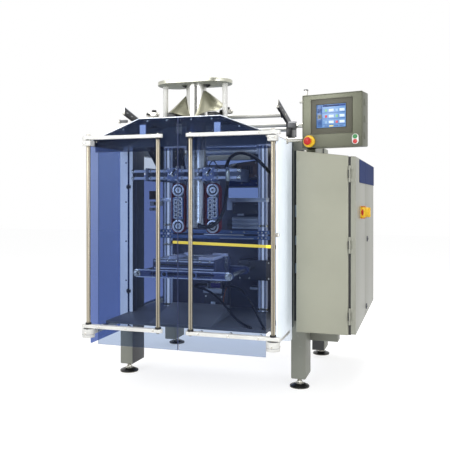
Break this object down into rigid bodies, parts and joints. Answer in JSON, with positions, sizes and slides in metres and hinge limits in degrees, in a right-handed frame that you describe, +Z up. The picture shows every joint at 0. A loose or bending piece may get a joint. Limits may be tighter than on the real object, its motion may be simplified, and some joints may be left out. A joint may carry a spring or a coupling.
{
  "type": "vertical form fill seal machine",
  "caption": "Vertical bag-making packaging machine with tinted guard doors, forming tube, pull belts, sealing jaws, side cabinet and control panel.",
  "frame": {"origin": "on the floor, under the middle of the machine's bounding box", "axes": "+X across the front to the cabinet side, +Y to the back, +Z up"},
  "size_m": [1.4881, 1.3254, 1.688],
  "materials": {
    "painted_grey": "grey textured paint on the frame posts and beams",
    "dark_paint": "dark grey machine paint, satin",
    "foot_rubber": "black moulded foot pads",
    "tinted_glass": "blue tinted polycarbonate",
    "white_plastic": "white moulded plastic and white coated rails",
    "steel": "brushed and ground steel",
    "aluminium": "anodised aluminium",
    "stainless": "brushed stainless sheet",
    "belt_red": "dark red belt",
    "yellow": "bright yellow plastic",
    "cabinet_paint": "warm grey paint on the cabinet",
    "blue_band": "dark blue band",
    "black_plastic": "black plastic",
    "screen": null,
    "stop_red": "red push head",
    "bezel": "dark screen bezel"
  },
  "bodies": {
    "frame": {"air_hoses": "foot_rubber", "base_beams": "painted_grey", "belt_pulleys": "aluminium", "belt_sliders": "aluminium", "belt_units": "aluminium", "cabinet_beams": "painted_grey", "cabinet_body": "cabinet_paint", "cabinet_hinges": "black_plastic", "carrier_plates": "dark_paint", "carrier_rods": "steel", "collar_stand": "dark_paint", "discharge_chute": "aluminium", "drive_boxes": "dark_paint", "drive_profiles": "aluminium", "film_rollers": "steel", "fixed_glass": "tinted_glass", "forming_collar": "stainless", "forming_tube": "steel", "frame_posts": "painted_grey", "guard_shelf": "dark_paint", "guide_shafts": "steel", "hinge_strips": "aluminium", "hood_ends": "tinted_glass", "hood_roof": "dark_paint", "infeed_plate": "aluminium", "infeed_stands": "white_plastic", "jaw_drive": "aluminium", "jaw_guides": "steel", "levelling_feet": "foot_rubber", "machine_plate": "dark_paint", "panel_bezel": "bezel", "panel_box": "stainless", "panel_mast": "stainless", "panel_screen": "screen", "panel_stay": "steel", "pivot_arms": "dark_paint", "pivot_bearings": "white_plastic", "pull_belts": "belt_red", "push_buttons": "white_plastic", "roller_arms": "dark_paint", "stop_disc": "yellow", "stop_head": "stop_red", "top_beams": "painted_grey", "yellow_bar": "yellow", "yoke_bars": "dark_paint"},
    "guard_door_left": {"door_glass_left": "tinted_glass", "door_rails_left": "white_plastic", "door_rods_left": "steel"},
    "guard_door_right": {"door_glass_right": "tinted_glass", "door_rails_right": "white_plastic", "door_rods_right": "steel"},
    "jaw_carriage_front": {"crosshead_front": "aluminium", "jaw_front": "dark_paint"},
    "jaw_carriage_rear": {"crosshead_rear": "aluminium", "jaw_rear": "dark_paint"},
    "cabinet_leaf_front": {"cabinet_door_front": "cabinet_paint", "band_front": "blue_band", "isolator_switch": "yellow"},
    "cabinet_leaf_rear": {"cabinet_door_rear": "cabinet_paint", "band_rear": "blue_band"}
  },
  "joints": [
    {"name": "guard_door_left_hinge", "type": "hinge", "parent": "frame", "child": "guard_door_left", "pos_m": [-0.693, -0.6287, 0.3], "axis": [0, 0, -1], "range_deg": [0, 110]},
    {"name": "guard_door_right_hinge", "type": "hinge", "parent": "frame", "child": "guard_door_right", "pos_m": [0.315, -0.6287, 0.3], "axis": [0, 0, 1], "range_deg": [0, 110]},
    {"name": "jaw_front_slide", "type": "slide", "parent": "frame", "child": "jaw_carriage_front", "axis": [0, 1, 0], "range_m": [0, 0.026]},
    {"name": "jaw_rear_slide", "type": "slide", "parent": "frame", "child": "jaw_carriage_rear", "axis": [0, -1, 0], "range_m": [0, 0.026]},
    {"name": "cabinet_leaf_front_hinge", "type": "hinge", "parent": "frame", "child": "cabinet_leaf_front", "pos_m": [0.661, -0.4618, 0.4], "axis": [0, 0, -1], "range_deg": [0, 110]},
    {"name": "cabinet_leaf_rear_hinge", "type": "hinge", "parent": "frame", "child": "cabinet_leaf_rear", "pos_m": [0.661, 0.6573, 0.4], "axis": [0, 0, 1], "range_deg": [0, 110]}
  ],
  "couplings": [
    {"joint": "jaw_rear_slide", "follows": "jaw_front_slide", "ratio": 1}
  ]
}
